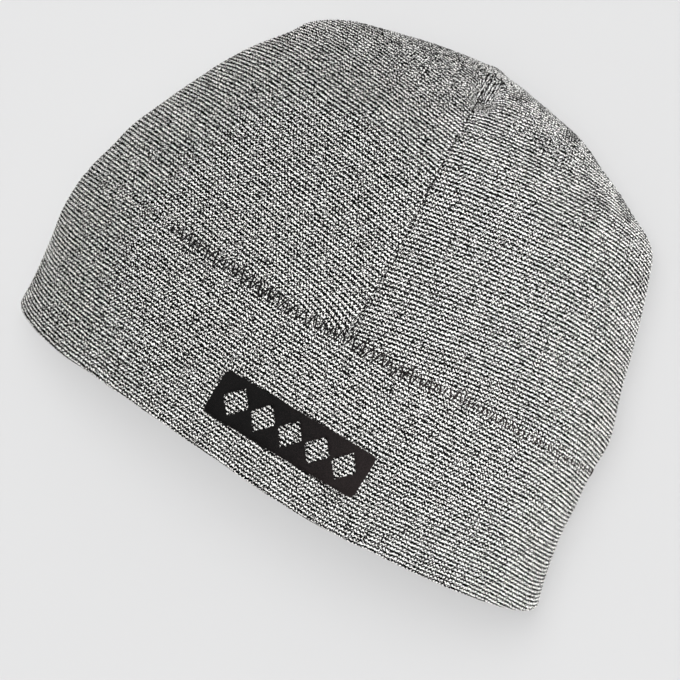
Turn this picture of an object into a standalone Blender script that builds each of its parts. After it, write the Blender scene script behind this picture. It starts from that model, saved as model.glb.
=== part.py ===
"""A close-fitting jersey-knit beanie that lies on its back, softly filled, with its front up.

Metres, +Z up. +Y runs from the mouth to the top of the crown, +X lies to the right of someone who
looks down at the front with the mouth towards them, and the back of the hat rests on Z = 0. The
origin is the middle of that footprint: the centre of the underside of the hat's box.
Four pieces: the band, the two halves of the crown and the embroidered badge on the band.
"""

import math

import bmesh
import bpy
from mathutils import Vector

# Driving dimensions, in metres
RIM_WIDTH = 0.255  # the mouth's flat width, from side fold to side fold
HAT_HEIGHT = 0.188  # from the mouth's corners to the top of the crown
LOFT = 0.046  # how far the front stands above the side folds
FOLD_RISE = 0.011  # the side folds' height above the surface that the hat lies on
FOLD_REACH = 0.013  # how far the round of a side fold reaches in under the hat
BAND_HEIGHT = 0.0615  # from the mouth's corners to the band seam, along the side folds
RIM_DROP = 0.0176  # how far the front rim hangs past the mouth's corners at its lowest point
RIM_LEFT_DROP = 0.0095  # how much of that it falls right beside the mouth's left corner
RIM_RIGHT_DROP = 0.0083
RIM_BEND = 0.0285  # how far the rim's lowest point lies to the right of the centre seam
RIM_BEND_ROUNDING = 0.008  # how softly the rim bends there
# The band seam sags on the front: how far, about which share of the way to a side fold, how widely
SEAM_SAGS = ((0.0045, -0.20, 0.37), (0.0022, 0.24, 0.15))
SEAM_SAG_REACH = 0.030  # how far above and below the band seam the knit sags with it
BAND_WALL = 0.003  # the band is a doubled layer of knit
CROWN_WALL = 0.002
SEAM_GAP = 0.0004  # between pieces that are sewn edge to edge
SEAM_DIP = 0.0007  # how deep the knit is drawn in along the band seam
SEAM_DIP_REACH = 0.004  # how far from the seam the knit is drawn in
JUNCTION_DENT = 0.0018  # the hollow where the centre seam meets the band seam
JUNCTION_REACH = 0.011
RIDGE_ROUNDING = 0.0035  # the radius of the crown's ridge
BADGE_LENGTH = 0.073
BADGE_HEIGHT = 0.0208
BADGE_CORNER = 0.003
BADGE_RISE = 0.0105  # from the mouth's corners to the badge's centre line
BADGE_THICKNESS = 0.0009
BADGE_GAP = 0.0003  # between the badge's underside and the band
DIAMOND_COUNT = 5
DIAMOND_LENGTH = 0.0118  # along the badge
DIAMOND_HEIGHT = 0.0136
DIAMOND_PITCH = 0.0131

# How finely the sheets are divided
BAND_COLUMNS = 72
BAND_ROWS = 9
CROWN_COLUMNS = 72
CROWN_ROWS = 27
BADGE_COLUMNS = 24
BADGE_ROWS = 6

# Sections of the hat from the mouth to the top, chosen by eye. rise is a share of HAT_HEIGHT,
# left and right are the reach of the side folds as shares of half of RIM_WIDTH, loft is a share
# of LOFT, ridge runs from 0, a round arch, to 1, a roof with its ridge on the centre seam, back is
# how much of FOLD_RISE lies below the fold, and drop is how far the front hangs towards the mouth,
# as a share of what the rim does.
SECTION_COLUMNS = ("rise", "left", "right", "loft", "ridge", "back", "drop")
SECTIONS = (
    (0.000, 0.998, 1.012, 0.84, 0.00, 1.00, 1.00),
    (0.060, 1.004, 0.988, 0.92, 0.00, 1.00, 0.82),
    (0.155, 1.026, 0.957, 0.98, 0.05, 1.00, 0.54),
    (0.230, 1.043, 0.946, 1.00, 0.12, 1.00, 0.31),
    (0.320, 1.038, 0.936, 1.02, 0.25, 1.00, 0.09),
    (0.405, 1.006, 0.934, 1.03, 0.42, 1.00, 0.02),
    (0.484, 0.977, 0.899, 1.04, 0.60, 1.00, 0.00),
    (0.641, 0.870, 0.832, 1.03, 0.90, 1.00, 0.00),
    (0.754, 0.777, 0.774, 0.98, 1.00, 1.00, 0.00),
    (0.832, 0.691, 0.726, 0.85, 1.00, 1.00, 0.00),
    (0.882, 0.641, 0.605, 0.70, 0.95, 0.97, 0.00),
    (0.927, 0.528, 0.465, 0.55, 0.75, 0.88, 0.00),
    (0.967, 0.322, 0.332, 0.37, 0.55, 0.72, 0.00),
    (0.992, 0.130, 0.130, 0.19, 0.40, 0.42, 0.00),
    (1.000, 0.045, 0.045, 0.07, 0.40, 0.15, 0.00),
)
LAST = len(SECTIONS) - 1

# The front arch is (1 - s ** bow) ** (1 / edge), where s is the share of the reach from the seam
ROUND_ARCH = (2.0, 2.0)
ROOF_ARCH = (1.15, 1.45)
RIM_SQUARENESS = 8  # how squarely the rim falls at the mouth's corners

KNIT_GREY = (0.34, 0.335, 0.325, 1.0)
THREAD_BLACK = (0.018, 0.016, 0.016, 1.0)


def clear_scene():
    for obj in list(bpy.data.objects):
        bpy.data.objects.remove(obj)


def new_collection(name):
    collection = bpy.data.collections.new(name)
    bpy.context.scene.collection.children.link(collection)
    return collection


def new_material(name, colour, roughness):
    material = bpy.data.materials.new(name)
    material.use_nodes = True
    shader = material.node_tree.nodes["Principled BSDF"]
    shader.inputs["Base Color"].default_value = colour
    shader.inputs["Roughness"].default_value = roughness
    shader.inputs["Metallic"].default_value = 0.0
    return material


def section_at(place):
    """The section at a place between 0, the mouth, and LAST, the top, as a smooth curve through the table."""
    first = min(int(place), LAST - 1)
    t = place - first
    rows = [SECTIONS[min(max(i, 0), LAST)] for i in range(first - 1, first + 3)]
    values = []
    for before, start, end, after in zip(*rows):
        lead, trail = (end - before) / 2, (after - start) / 2
        values.append(
            start
            + lead * t
            + (3 * (end - start) - 2 * lead - trail) * t**2
            + (2 * (start - end) + lead + trail) * t**3
        )
    return dict(zip(SECTION_COLUMNS, values))


def place_at_rise(height):
    """The place whose section rises to this height, by halving."""
    low, high = 0.0, float(LAST)
    for _ in range(40):
        middle = (low + high) / 2
        if section_at(middle)["rise"] * HAT_HEIGHT < height:
            low = middle
        else:
            high = middle
    return (low + high) / 2


SEAM_PLACE = place_at_rise(BAND_HEIGHT)


def front_arch(x, reach, ridge):
    """Height of the front arch, from 1 on the centre seam to 0 on the side fold."""
    s = rounded(x, RIDGE_ROUNDING) / rounded(reach, RIDGE_ROUNDING)
    bow, edge = (low + (high - low) * ridge for low, high in zip(ROUND_ARCH, ROOF_ARCH))
    return (1 - min(s, 1.0) ** bow) ** (1 / edge)


def rounded(distance, rounding):
    """The distance from a bend, eased within the bend's rounding."""
    return math.hypot(distance, rounding) - rounding


def rim_fall(x, reach):
    """How far the front rim hangs past the mouth's corners: a square fall beside them, and a shallow V between."""
    corner = math.sqrt(max(0.0, 1 - (abs(x) / reach) ** RIM_SQUARENESS))
    run = reach - math.copysign(RIM_BEND, x - RIM_BEND)
    slope = 1 - rounded(x - RIM_BEND, RIM_BEND_ROUNDING) / rounded(run, RIM_BEND_ROUNDING)
    beside = RIM_LEFT_DROP if x < RIM_BEND else RIM_RIGHT_DROP
    return beside * corner + (RIM_DROP - beside) * slope


def back_arch(share, reach):
    """Depth of the back, from 1 where it lies flat to 0 on the side fold."""
    flat = 1 - min(FOLD_REACH / reach, 1.0) if reach > 0 else 0.0
    if share <= flat:
        return 1.0
    return math.sqrt(max(0.0, 1 - ((share - flat) / (1 - flat)) ** 2))


def sag_at(side, from_seam):
    """How far the front's knit beside the band seam sags towards the mouth. side is -1 on the left fold and 1 on the right."""
    sag = sum(depth * math.exp(-(((side - at) / width) ** 2)) for depth, at, width in SEAM_SAGS)
    return sag * (1 - side**8) * math.exp(-((from_seam / SEAM_SAG_REACH) ** 2))


def hat_point(place, turn):
    """A point of the hat's outer surface. turn is 0 on the front's centre line, a quarter on the right fold and a half on the back's."""
    section = section_at(place)
    side = math.sin(turn)
    reach = section["right" if side > 0 else "left"] * RIM_WIDTH / 2
    height = section["rise"] * HAT_HEIGHT
    from_seam = height - BAND_HEIGHT
    x = reach * side
    if math.cos(turn) < 0:
        below = FOLD_RISE * min(section["back"], 1.0) * back_arch(abs(side), reach)
        return Vector((x, height, FOLD_RISE - below))
    arch = front_arch(x, reach, section["ridge"])
    above = section["loft"] * LOFT * arch
    above -= JUNCTION_DENT * math.exp(-((math.hypot(x, from_seam) / JUNCTION_REACH) ** 2))
    above -= SEAM_DIP * math.exp(-((from_seam / SEAM_DIP_REACH) ** 2)) * arch
    y = height - section["drop"] * rim_fall(x, reach) - sag_at(side, from_seam)
    return Vector((x, y, FOLD_RISE + above))


def sheet_mesh(name, columns, rows, point, ring=False, capped=False):
    """A sheet of quads through point(column, row). A ring joins its last column to the first, and a cap fills its last row."""
    mesh = bmesh.new()
    grid = [[mesh.verts.new(point(c, r)) for c in range(columns)] for r in range(rows)]
    for low, high in zip(grid, grid[1:]):
        for c in range(columns if ring else columns - 1):
            after = (c + 1) % columns
            mesh.faces.new((low[c], low[after], high[after], high[c]))
    if capped:
        mesh.faces.new(grid[-1])
    data = bpy.data.meshes.new(name)
    mesh.to_mesh(data)
    mesh.free()
    return data


def make_frame():
    """An empty that carries every piece, so that the origin is the middle of the hat's footprint."""
    turns = [turn_of(c, BAND_COLUMNS) for c in range(BAND_COLUMNS)]
    low = [hat_point(0.0, turn) for turn in turns]
    wide = [hat_point(place / 10, turn) for place in range(10 * LAST) for turn in turns]
    middle_x = (min(p.x for p in wide) + max(p.x for p in wide)) / 2
    middle_y = (min(p.y for p in low) + HAT_HEIGHT) / 2
    frame = bpy.data.objects.new("hat_frame", None)
    frame.location = (-middle_x, -middle_y, 0)
    bpy.context.scene.collection.objects.link(frame)
    return frame


def add_object(name, data, collection, material):
    obj = bpy.data.objects.new(name, data)
    obj.data.materials.append(material)
    obj.data.shade_smooth()
    collection.objects.link(obj)
    return obj


def add_wall(obj, thickness):
    """Thickness laid inwards from the outer sheet."""
    wall = obj.modifiers.new("wall", "SOLIDIFY")
    wall.thickness = thickness
    wall.offset = -1.0
    wall.use_even_offset = True


def turn_of(column, columns):
    return 2 * math.pi * column / columns


def make_band(collection, material):
    """The doubled band: a closed ring from the rim to the band seam."""
    top = place_at_rise(BAND_HEIGHT - SEAM_GAP / 2)

    def point(column, row):
        place = top * row / (BAND_ROWS - 1)
        return hat_point(place, turn_of(column, BAND_COLUMNS))

    data = sheet_mesh("band", BAND_COLUMNS, BAND_ROWS, point, ring=True)
    band = add_object("band", data, collection, material)
    add_wall(band, BAND_WALL)
    return band


def crown_sheet(name):
    """The whole crown's outer sheet, from the band seam to the small flat top, as one dome."""
    bottom = place_at_rise(BAND_HEIGHT + SEAM_GAP / 2)

    def point(column, row):
        place = bottom + (LAST - bottom) * row / (CROWN_ROWS - 1)
        return hat_point(place, turn_of(column, CROWN_COLUMNS))

    return sheet_mesh(name, CROWN_COLUMNS, CROWN_ROWS, point, ring=True, capped=True)


def make_half_space(name, side, cutters):
    """A block that holds everything on one side of the centre seam, less half of the seam's gap."""
    size = 2 * max(RIM_WIDTH, HAT_HEIGHT)
    bpy.ops.mesh.primitive_cube_add(size=size)
    block = bpy.context.object
    block.name = name
    block.location = (side * (size / 2 + SEAM_GAP / 2), HAT_HEIGHT / 2, 0)
    block.hide_render = True
    block.display_type = "WIRE"
    for collection in list(block.users_collection):
        collection.objects.unlink(block)
    cutters.objects.link(block)
    return block


def make_crown_half(name, side, collection, cutters, material):
    """One half of the crown: the dome's shell on one side of the centre seam."""
    half = add_object(name, crown_sheet(name), collection, material)
    add_wall(half, CROWN_WALL)
    cut = half.modifiers.new("centre seam", "BOOLEAN")
    cut.operation = "INTERSECT"
    cut.solver = "EXACT"
    cut.object = make_half_space(name + "_side", side, cutters)
    return half


def hat_normal(place, turn):
    """The outward direction of the hat's surface."""
    step = 0.02
    across = hat_point(place, turn + step) - hat_point(place, turn - step)
    along = hat_point(place + step, turn) - hat_point(place - step, turn)
    return across.cross(along).normalized()


def badge_point(x, y):
    """A point of the badge's outer face, over the point of the band at that x and that height above the mouth's corners."""
    height = y
    for _ in range(6):
        place = place_at_rise(height)
        reach = section_at(place)["right" if x > 0 else "left"] * RIM_WIDTH / 2
        turn = math.asin(x / reach)
        height += y - hat_point(place, turn).y
    return hat_point(place, turn) + hat_normal(place, turn) * (BADGE_GAP + BADGE_THICKNESS)


def badge_half_height(x):
    """Half of the badge's height at x, less near the ends, where its corners are round."""
    into_corner = max(0.0, abs(x) - (BADGE_LENGTH / 2 - BADGE_CORNER))
    drop = BADGE_CORNER - math.sqrt(max(0.0, BADGE_CORNER**2 - into_corner**2))
    return BADGE_HEIGHT / 2 - min(drop, 0.98 * BADGE_CORNER)


def badge_stations():
    """Where the badge's columns stand: evenly along it, and closer round its corners."""
    straight = BADGE_LENGTH / 2 - BADGE_CORNER
    corner = [straight + BADGE_CORNER * math.sin(math.radians(a)) for a in (30, 60, 90)]
    middle = [straight * (2 * i / BADGE_COLUMNS - 1) for i in range(BADGE_COLUMNS + 1)]
    return [-x for x in reversed(corner)] + middle + corner


def make_diamond(index, cutters):
    """A four-sided prism that cuts one diamond window through the badge."""
    bpy.ops.mesh.primitive_cylinder_add(vertices=4, radius=0.5, depth=LOFT)
    diamond = bpy.context.object
    diamond.name = f"diamond_{index}"
    x = (index - (DIAMOND_COUNT - 1) / 2) * DIAMOND_PITCH
    face = badge_point(x, BADGE_RISE)
    diamond.location = (x, BADGE_RISE, face.z)
    diamond.scale = (DIAMOND_LENGTH, DIAMOND_HEIGHT, 1)
    diamond.hide_render = True
    diamond.display_type = "WIRE"
    for collection in list(diamond.users_collection):
        collection.objects.unlink(diamond)
    cutters.objects.link(diamond)
    return diamond


def make_badge(collection, cutters, material):
    """The embroidered badge: a black bar with a row of diamond windows, laid on the band."""
    stations = badge_stations()

    def point(column, row):
        x = stations[column]
        y = BADGE_RISE + badge_half_height(x) * (2 * row / BADGE_ROWS - 1)
        return badge_point(x, y)

    data = sheet_mesh("badge", len(stations), BADGE_ROWS + 1, point)
    badge = add_object("badge", data, collection, material)
    add_wall(badge, BADGE_THICKNESS)
    for index in range(DIAMOND_COUNT):
        cut = badge.modifiers.new(f"window {index}", "BOOLEAN")
        cut.operation = "DIFFERENCE"
        cut.solver = "EXACT"
        cut.object = make_diamond(index, cutters)
    return badge


def main():
    clear_scene()
    hat = new_collection("knit_beanie")
    cutters = new_collection("cutters")
    knit = new_material("tweed_knit", KNIT_GREY, 0.9)
    thread = new_material("black_thread", THREAD_BLACK, 0.55)
    make_band(hat, knit)
    make_crown_half("crown_left", -1, hat, cutters, knit)
    make_crown_half("crown_right", 1, hat, cutters, knit)
    make_badge(hat, cutters, thread)
    frame = make_frame()
    for obj in list(hat.objects) + list(cutters.objects):
        obj.parent = frame


main()
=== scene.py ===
"""The looks of the jersey-knit beanie: ribbed knit sheets, sewn seams and an embroidered badge.

Metres, +Z up, in the CAD frame. "Hat coordinates" start at the mouth's corner line and the centre
seam: x across, y towards the top of the crown, z up from the surface that the hat lies on.
"""

import math

import bmesh
import bpy
import numpy as np
from mathutils import Matrix, Vector


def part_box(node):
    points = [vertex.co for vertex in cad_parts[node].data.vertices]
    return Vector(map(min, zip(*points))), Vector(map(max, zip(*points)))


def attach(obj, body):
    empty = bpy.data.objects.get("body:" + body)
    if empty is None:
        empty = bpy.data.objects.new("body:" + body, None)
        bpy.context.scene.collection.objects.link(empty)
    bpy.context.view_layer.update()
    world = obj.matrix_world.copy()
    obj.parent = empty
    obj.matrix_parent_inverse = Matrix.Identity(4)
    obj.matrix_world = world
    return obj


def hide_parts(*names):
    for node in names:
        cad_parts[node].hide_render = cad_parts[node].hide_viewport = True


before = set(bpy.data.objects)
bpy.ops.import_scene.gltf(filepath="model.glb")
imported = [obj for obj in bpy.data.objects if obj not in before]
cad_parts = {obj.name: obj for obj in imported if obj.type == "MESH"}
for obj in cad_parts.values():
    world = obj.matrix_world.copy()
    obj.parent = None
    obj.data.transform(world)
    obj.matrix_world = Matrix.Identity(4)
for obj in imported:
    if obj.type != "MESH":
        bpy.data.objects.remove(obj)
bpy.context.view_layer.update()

# The hat's sections, as in the CAD solids. rise is a share of the hat's height, left and right are
# the reach of the side folds as shares of half the mouth's width, loft is a share of the front's
# loft, ridge runs from 0, a round arch, to 1, a roof, back is how much of the fold's rise lies below
# the fold, and drop is how far the front hangs towards the mouth, as a share of the rim's drop.
SECTION_COLUMNS = ("rise", "left", "right", "loft", "ridge", "back", "drop")
SECTIONS = np.array(
    (
        (0.000, 0.998, 1.012, 0.84, 0.00, 1.00, 1.00),
        (0.060, 1.004, 0.988, 0.92, 0.00, 1.00, 0.82),
        (0.155, 1.026, 0.957, 0.98, 0.05, 1.00, 0.54),
        (0.230, 1.043, 0.946, 1.00, 0.12, 1.00, 0.31),
        (0.320, 1.038, 0.936, 1.02, 0.25, 1.00, 0.09),
        (0.405, 1.006, 0.934, 1.03, 0.42, 1.00, 0.02),
        (0.484, 0.977, 0.899, 1.04, 0.60, 1.00, 0.00),
        (0.641, 0.870, 0.832, 1.03, 0.90, 1.00, 0.00),
        (0.754, 0.777, 0.774, 0.98, 1.00, 1.00, 0.00),
        (0.832, 0.691, 0.726, 0.85, 1.00, 1.00, 0.00),
        (0.882, 0.641, 0.605, 0.70, 0.95, 0.97, 0.00),
        (0.927, 0.528, 0.465, 0.55, 0.75, 0.88, 0.00),
        (0.967, 0.322, 0.332, 0.37, 0.55, 0.72, 0.00),
        (0.992, 0.130, 0.130, 0.19, 0.40, 0.42, 0.00),
        (1.000, 0.045, 0.045, 0.07, 0.40, 0.15, 0.00),
    )
)
LAST = len(SECTIONS) - 1

# Sizes that the frame doesn't show, in metres. A seam sag is a depth, and its middle and width as
# shares of the way to the side fold.
RIM_DROP = 0.0176
RIM_LEFT_DROP = 0.0095
RIM_RIGHT_DROP = 0.0083
RIM_BEND = 0.0285
RIM_BEND_ROUNDING = 0.008
RIM_SQUARENESS = 8
SEAM_SAGS = ((0.0045, -0.20, 0.37), (0.0022, 0.24, 0.15))
SEAM_SAG_REACH = 0.030
SEAM_SAG_SQUARENESS = 8
BAND_HEIGHT = 0.0615
BAND_WALL = 0.003
CROWN_WALL = 0.002
FOLD_RISE = 0.011
FOLD_REACH = 0.013
SEAM_DIP = 0.0007
SEAM_DIP_REACH = 0.004
JUNCTION_DENT = 0.0018
JUNCTION_REACH = 0.011
RIDGE_ROUNDING = 0.0035
LEAN = 0.0037
LEAN_FROM = 0.085
LEAN_TO = 0.165
LEAN_REACH = 0.030
ROUND_ARCH = (2.0, 2.0)
ROOF_ARCH = (1.15, 1.45)

# The knit's relief: a rib is one black and one off-white course. An undulation is a height, the
# width of its swells and a seed.
RIB_PITCH = 0.001885
WALE_PITCH = 0.00161
RIB_RELIEF = 0.00032
RIB_SHARPNESS = 1.3
RIB_UNEVENNESS = 0.06
RIB_UNEVENNESS_CELL = 0.006
BAND_RELIEF_SEED = 11
CROWN_RELIEF_SEED = 12
UNDULATIONS = ((0.0007, 0.034, 5), (0.00025, 0.011, 6))

# The knit beside the seams
SEAM_REACH = 0.0026
BAND_SEAM_DISORDER = 0.38
CENTRE_SEAM_DISORDER = 0.25
SEAM_GROOVE = 0.0004
CENTRE_GROOVE = 0.0006
CENTRE_GROOVE_FULL_FROM = 0.03
SEAM_GROOVE_REACH = 0.0016
TUCK = 0.0012

# The grids: how far apart their points lie and where the front's fine sheets end, as a share of the
# way to the fold on the flat back. The closing sizes are for the rows that close the gathered top.
ROWS_PER_RIB = 7
FRONT_SPACING = 0.00115
BACK_SPACING = 0.005
INSIDE_SPACING = 0.003
FRONT_ENDS_AT = 0.8
SIDE_TURN = math.pi - math.asin(FRONT_ENDS_AT)
RIM_RADIUS = BAND_WALL / 2
RIM_FOLD_ROWS = 9
CLOSING_ROWS = 10
CLOSING_SHARE = 0.98
CLOSING_BULGE = 0.0012
CLOSING_RIBS = 3

# How finely curves are sampled and searched
PLACE_SAMPLES = 4001
ALONG_SAMPLES = 2000
ROUND_SAMPLES = 4000
SEARCH_STEPS = 8
NOISE_TABLE = 64
SHORTEST = 1e-12

# The view: the picture is 680 pixels wide and looks straight down on the hat
METRES_PER_PIXEL = 0.0004254
PICTURE_WIDTH = 680
PICTURE_TURN = math.radians(30.8)
AIM = Vector((-0.0022, 0.0549, 0.02))
CAMERA_DISTANCE = 2.4
SENSOR_WIDTH_MM = 36.0
FARTHEST_VIEW = 20.0


def at_places(place):
    """Each column of the section table at each place, on a smooth curve through the rows."""
    place = np.asarray(place, float)
    first = np.clip(place.astype(int), 0, LAST - 1)
    t = (place - first)[..., None]
    before, start, end, after = (
        SECTIONS[np.clip(first + i, 0, LAST)] for i in (-1, 0, 1, 2)
    )
    lead, trail = (end - before) / 2, (after - start) / 2
    curve = (
        start
        + lead * t
        + (3 * (end - start) - 2 * lead - trail) * t**2
        + (2 * (start - end) + lead + trail) * t**3
    )
    return dict(zip(SECTION_COLUMNS, np.moveaxis(curve, -1, 0)))


# Sizes that the frame shows
every_place = np.linspace(0, LAST, PLACE_SAMPLES)
sections = at_places(every_place)
WIDEST_LEFT, WIDEST_RIGHT, HIGHEST_LOFT = (sections[key].max() for key in ("left", "right", "loft"))
band_low, band_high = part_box("band")
_, crown_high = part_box("crown_left")
RIM_WIDTH = 2 * (band_high.x - band_low.x) / (WIDEST_LEFT + WIDEST_RIGHT)
HAT_HEIGHT = crown_high.y - band_low.y - RIM_DROP
LOFT = (crown_high.z - FOLD_RISE) / HIGHEST_LOFT
ORIGIN = Vector((band_low.x + WIDEST_LEFT * RIM_WIDTH / 2, band_low.y + RIM_DROP, 0.0))
BADGE_LOW, BADGE_HIGH = (np.array(corner - ORIGIN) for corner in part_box("badge"))


def place_at_rise(height):
    """The place of the section that rises to this height."""
    return np.interp(height / HAT_HEIGHT, sections["rise"], every_place)


SEAM_PLACE = float(place_at_rise(BAND_HEIGHT))


def rounded(distance, rounding):
    """The distance from a bend, eased within the bend's rounding."""
    return np.hypot(distance, rounding) - rounding


def eased(share):
    """A share between 0 and 1 that starts and ends gently."""
    return share * share * (3 - 2 * share)


def front_arch(x, reach, ridge):
    """Height of the front arch, from 1 on the centre seam to 0 on the side fold."""
    s = np.clip(rounded(x, RIDGE_ROUNDING) / rounded(reach, RIDGE_ROUNDING), 0, 1)
    bow, edge = (low + (high - low) * ridge for low, high in zip(ROUND_ARCH, ROOF_ARCH))
    return (1 - s**bow) ** (1 / edge)


def rim_fall(x, reach):
    """How far the front rim hangs past the mouth's corners."""
    corner = np.sqrt(np.clip(1 - (np.abs(x) / reach) ** RIM_SQUARENESS, 0, 1))
    run = reach - np.copysign(RIM_BEND, x - RIM_BEND)
    slope = 1 - rounded(x - RIM_BEND, RIM_BEND_ROUNDING) / rounded(run, RIM_BEND_ROUNDING)
    beside = np.where(x < RIM_BEND, RIM_LEFT_DROP, RIM_RIGHT_DROP)
    return beside * corner + (RIM_DROP - beside) * slope


def sag_at(side, height):
    """How far the front's knit beside the band seam sags towards the mouth.

    side is -1 on the left fold and 1 on the right.
    """
    sag = sum(depth * np.exp(-(((side - at) / width) ** 2)) for depth, at, width in SEAM_SAGS)
    from_seam = (height - BAND_HEIGHT) / SEAM_SAG_REACH
    return sag * (1 - side**SEAM_SAG_SQUARENESS) * np.exp(-(from_seam**2))


def lean_at(y):
    """How far the centre seam has strayed to the left at y."""
    return LEAN * eased(np.clip((y - LEAN_FROM) / (LEAN_TO - LEAN_FROM), 0, 1))


def hat_surface(place, turn):
    """Points of the hat's outer surface in hat coordinates.

    turn is 0 on the front's centre line, a quarter turn on the right fold and a half turn on the
    back's centre line.
    """
    place, turn = np.broadcast_arrays(place, turn)
    section = at_places(place)
    side, facing = np.sin(turn), np.cos(turn)
    share = np.abs(side)
    reach = np.where(side > 0, section["right"], section["left"]) * RIM_WIDTH / 2
    x = reach * side
    height = section["rise"] * HAT_HEIGHT
    from_seam = height - BAND_HEIGHT

    arch = front_arch(x, reach, section["ridge"])
    above = section["loft"] * LOFT * arch
    above -= JUNCTION_DENT * np.exp(-((x**2 + from_seam**2) / JUNCTION_REACH**2))
    above -= SEAM_DIP * np.exp(-((from_seam / SEAM_DIP_REACH) ** 2)) * arch
    front_y = height - section["drop"] * rim_fall(x, reach) - sag_at(side, height)

    flat = np.clip(1 - FOLD_REACH / reach, 0, 1)
    round_share = np.clip((share - flat) / (1 - flat), 0, 1)
    below = FOLD_RISE * np.minimum(section["back"], 1) * np.sqrt(1 - round_share**2)

    front = facing >= 0
    y = np.where(front, front_y, height)
    z = FOLD_RISE + np.where(front, above, -below)
    return np.stack([x - lean_at(y) * np.exp(-((x / LEAN_REACH) ** 2)), y, z], -1)


def unit(vectors):
    """The vectors at length 1."""
    return vectors / np.maximum(np.linalg.norm(vectors, axis=-1, keepdims=True), SHORTEST)


def surface_normal(place, turn):
    """Outward unit normals of the hat's surface."""
    step = 0.01
    across = hat_surface(place, turn + step) - hat_surface(place, turn - step)
    along = hat_surface(place + step, turn) - hat_surface(place - step, turn)
    return unit(np.cross(across, along))


def surface_at(x, y):
    """The place and the turn of the front's surface at these hat coordinates."""
    height = np.array(y, float)
    for _ in range(SEARCH_STEPS):
        place = place_at_rise(height)
        section = at_places(place)
        reach = np.where(x > 0, section["right"], section["left"]) * RIM_WIDTH / 2
        turn = np.arcsin(np.clip(x / reach, -1, 1))
        height = height + y - hat_surface(place, turn)[..., 1]
    return place, turn


def arc_lengths(points, axis):
    """Distance along the lines of a grid of points, from the first one."""
    steps = np.linalg.norm(np.diff(points, axis=axis), axis=-1)
    start = np.zeros_like(np.take(steps, [0], axis=axis))
    return np.concatenate([start, np.cumsum(steps, axis=axis)], axis=axis)


def centre_line(first, last):
    """Close places along the front's centre line, and their distance along it."""
    fine = np.linspace(first, last, ALONG_SAMPLES)
    return fine, arc_lengths(hat_surface(fine, np.zeros_like(fine)), 0)


def even_steps(length, spacing):
    """Distances from 0 to the length, about a spacing apart."""
    count = max(2, int(round(length / spacing)) + 1)
    return np.linspace(0, length, count)


def even_places(first, last, spacing):
    """Places from first to last, evenly spaced along the centre line, and their distance along it."""
    fine, along = centre_line(first, last)
    even = even_steps(along[-1], spacing)
    return np.interp(even, along, fine), even


def even_turns(first, last, spacing, place):
    """Turns from first to last, evenly spaced round the section at a place."""
    fine = np.linspace(first, last, ROUND_SAMPLES)
    along = arc_lengths(hat_surface(np.full_like(fine, place), fine), 0)
    return np.interp(even_steps(along[-1], spacing), along, fine)


def joined_turns(spans, place):
    """Turns through consecutive spans of (first, last, spacing), and the column where each begins."""
    turns, starts = [], []
    for first, last, spacing in spans:
        part = even_turns(first, last, spacing, place)
        starts.append(len(turns) - 1 if turns else 0)
        turns.extend(part if not turns else part[1:])
    return np.array(turns), starts


def wales_from_centre(points, turns):
    """Wales between each point and the front's centre line, counted along the rows."""
    across = arc_lengths(points, 1)
    nearest = int(np.argmin(np.abs(turns)))
    return (across - across[:, nearest : nearest + 1]) / WALE_PITCH


def grid_normals(points):
    """Outward unit normals of a grid whose columns run to the right and rows towards the top."""
    along = np.gradient(points, axis=0)
    across = np.gradient(points, axis=1)
    return unit(np.cross(across, along))


def value_noise(x, y, cell, seed):
    """Smooth noise between -1 and 1 with features of about one cell."""
    table = np.random.default_rng(seed).uniform(-1, 1, (NOISE_TABLE, NOISE_TABLE))
    gx, gy = x / cell, y / cell
    ix, iy = np.floor(gx).astype(int), np.floor(gy).astype(int)
    fx, fy = eased(gx - ix), eased(gy - iy)

    def corner(right, up):
        return table[(ix + right) % NOISE_TABLE, (iy + up) % NOISE_TABLE]

    low = corner(0, 0) * (1 - fx) + corner(1, 0) * fx
    high = corner(0, 1) * (1 - fx) + corner(1, 1) * fx
    return low * (1 - fy) + high * fy


def add_piece(name, points, faces, uv, material):
    """A smooth mesh of quads as an object in the CAD frame. uv gives each point a place in the image."""
    mesh = bpy.data.meshes.new(name)
    mesh.from_pydata(points.reshape(-1, 3) + np.array(ORIGIN), [], faces)
    layer = mesh.uv_layers.new(name="OFBake")
    layer.uv.foreach_set("vector", uv[faces.ravel()].astype(np.float32).ravel())
    mesh.materials.append(material)
    mesh.shade_smooth()
    obj = bpy.data.objects.new(name, mesh)
    bpy.context.scene.collection.objects.link(obj)
    return obj


def make_sheet(name, points, attributes, material):
    """A grid of quads with named attributes. Its UV map fills the image."""
    rows, columns = points.shape[:2]
    index = np.arange(rows * columns).reshape(rows, columns)
    corners = (index[:-1, :-1], index[:-1, 1:], index[1:, 1:], index[1:, :-1])
    faces = np.stack([corner.ravel() for corner in corners], -1)
    across = arc_lengths(points[rows // 2 : rows // 2 + 1], 1)[0]
    along = arc_lengths(points[:, columns // 2 : columns // 2 + 1], 0)[:, 0]
    u, v = np.meshgrid(across / across[-1], along / along[-1])
    sheet = add_piece(name, points, faces, np.stack([u.ravel(), v.ravel()], -1), material)
    for key, values in attributes.items():
        attribute = sheet.data.attributes.new(key, "FLOAT", "POINT")
        attribute.data.foreach_set("value", values.astype(np.float32).ravel())
    return sheet


def make_sheets(columns_by_name, points, fields, material):
    """Sheets with these names, cut from one grid by its columns."""
    sheets = []
    for name, columns in columns_by_name.items():
        attributes = {key: values[:, columns] for key, values in fields.items()}
        sheets.append(make_sheet(name, points[:, columns], attributes, material))
    return sheets


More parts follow.
